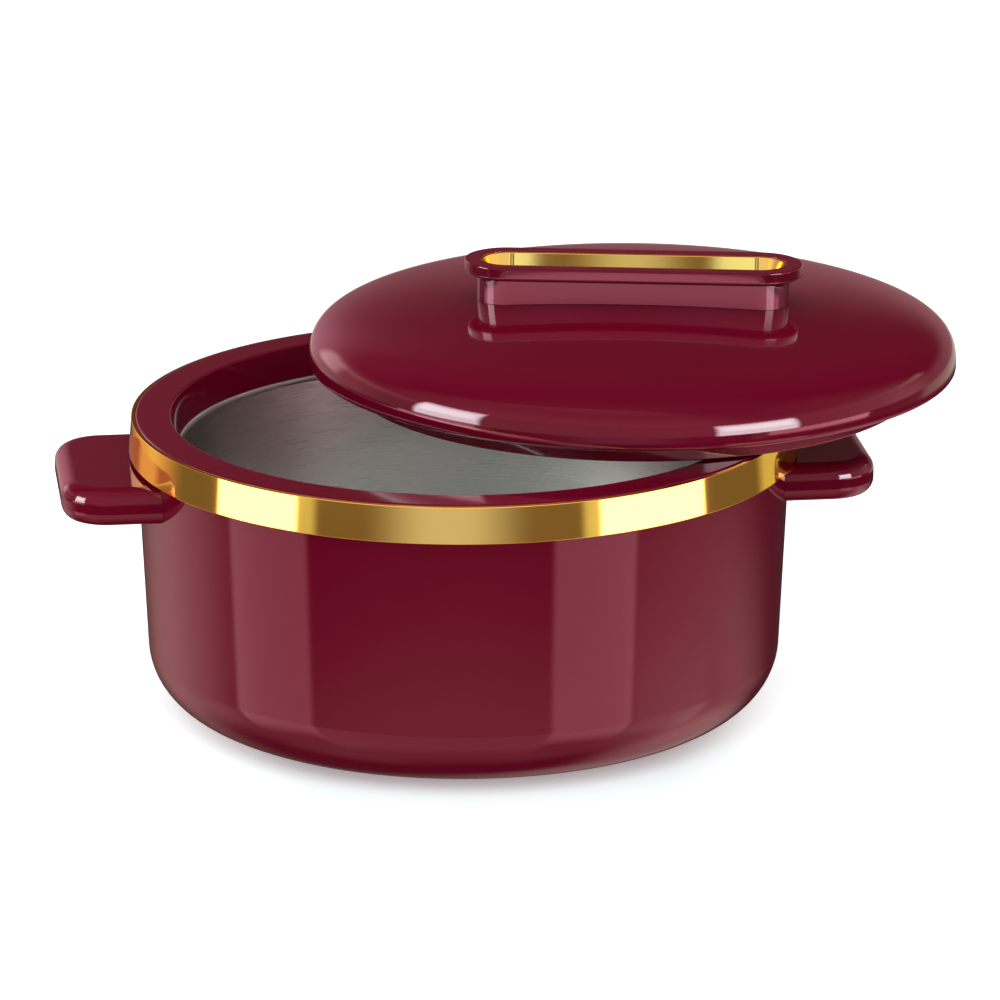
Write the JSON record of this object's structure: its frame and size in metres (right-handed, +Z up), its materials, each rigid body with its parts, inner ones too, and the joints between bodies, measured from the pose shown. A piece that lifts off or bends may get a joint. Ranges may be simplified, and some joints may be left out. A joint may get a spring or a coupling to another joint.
{
  "type": "insulated casserole",
  "caption": "Round double-walled serving casserole with a steel bowl, flat rim, metallic trim band, two side lugs and a loose domed lid with a low bar handle, lying ajar across the rim.",
  "frame": {"origin": "centre of the pot's flat base, on the surface that it stands on", "axes": "+Z up along the pot's axis; the two side lugs lie along X; the lid is loose and its axis lies 71 mm from the pot's, 22.5 degrees from +X towards +Y"},
  "size_m": [0.3311, 0.2667, 0.1542],
  "materials": {
    "maroon_plastic": "gloss",
    "gold_trim": "polished",
    "bowl_steel": "satin",
    "seal_rubber": "matte",
    "insulation_foam": "matte",
    "screw_steel": "satin"
  },
  "bodies": {
    "pot": {"outer_body": "maroon_plastic", "base_plate": "maroon_plastic", "rim_collar": "maroon_plastic", "gold_band": "gold_trim", "inner_bowl": "bowl_steel", "bowl_seal": "seal_rubber", "body_insulation": "insulation_foam", "left_lug": "maroon_plastic", "right_lug": "maroon_plastic", "lug_screws": "screw_steel"},
    "lid": {"lid_shell": "maroon_plastic", "lid_inner_panel": "maroon_plastic", "lid_fill_plug": "maroon_plastic", "lid_insulation": "insulation_foam", "lid_handle": "maroon_plastic", "handle_inlay": "gold_trim", "lid_handle_screws": "screw_steel"}
  },
  "joints": [
    {"name": "lid_lift", "type": "slide", "parent": "pot", "child": "lid", "axis": [0, 0, 1], "range_m": [0, 0.12]}
  ]
}
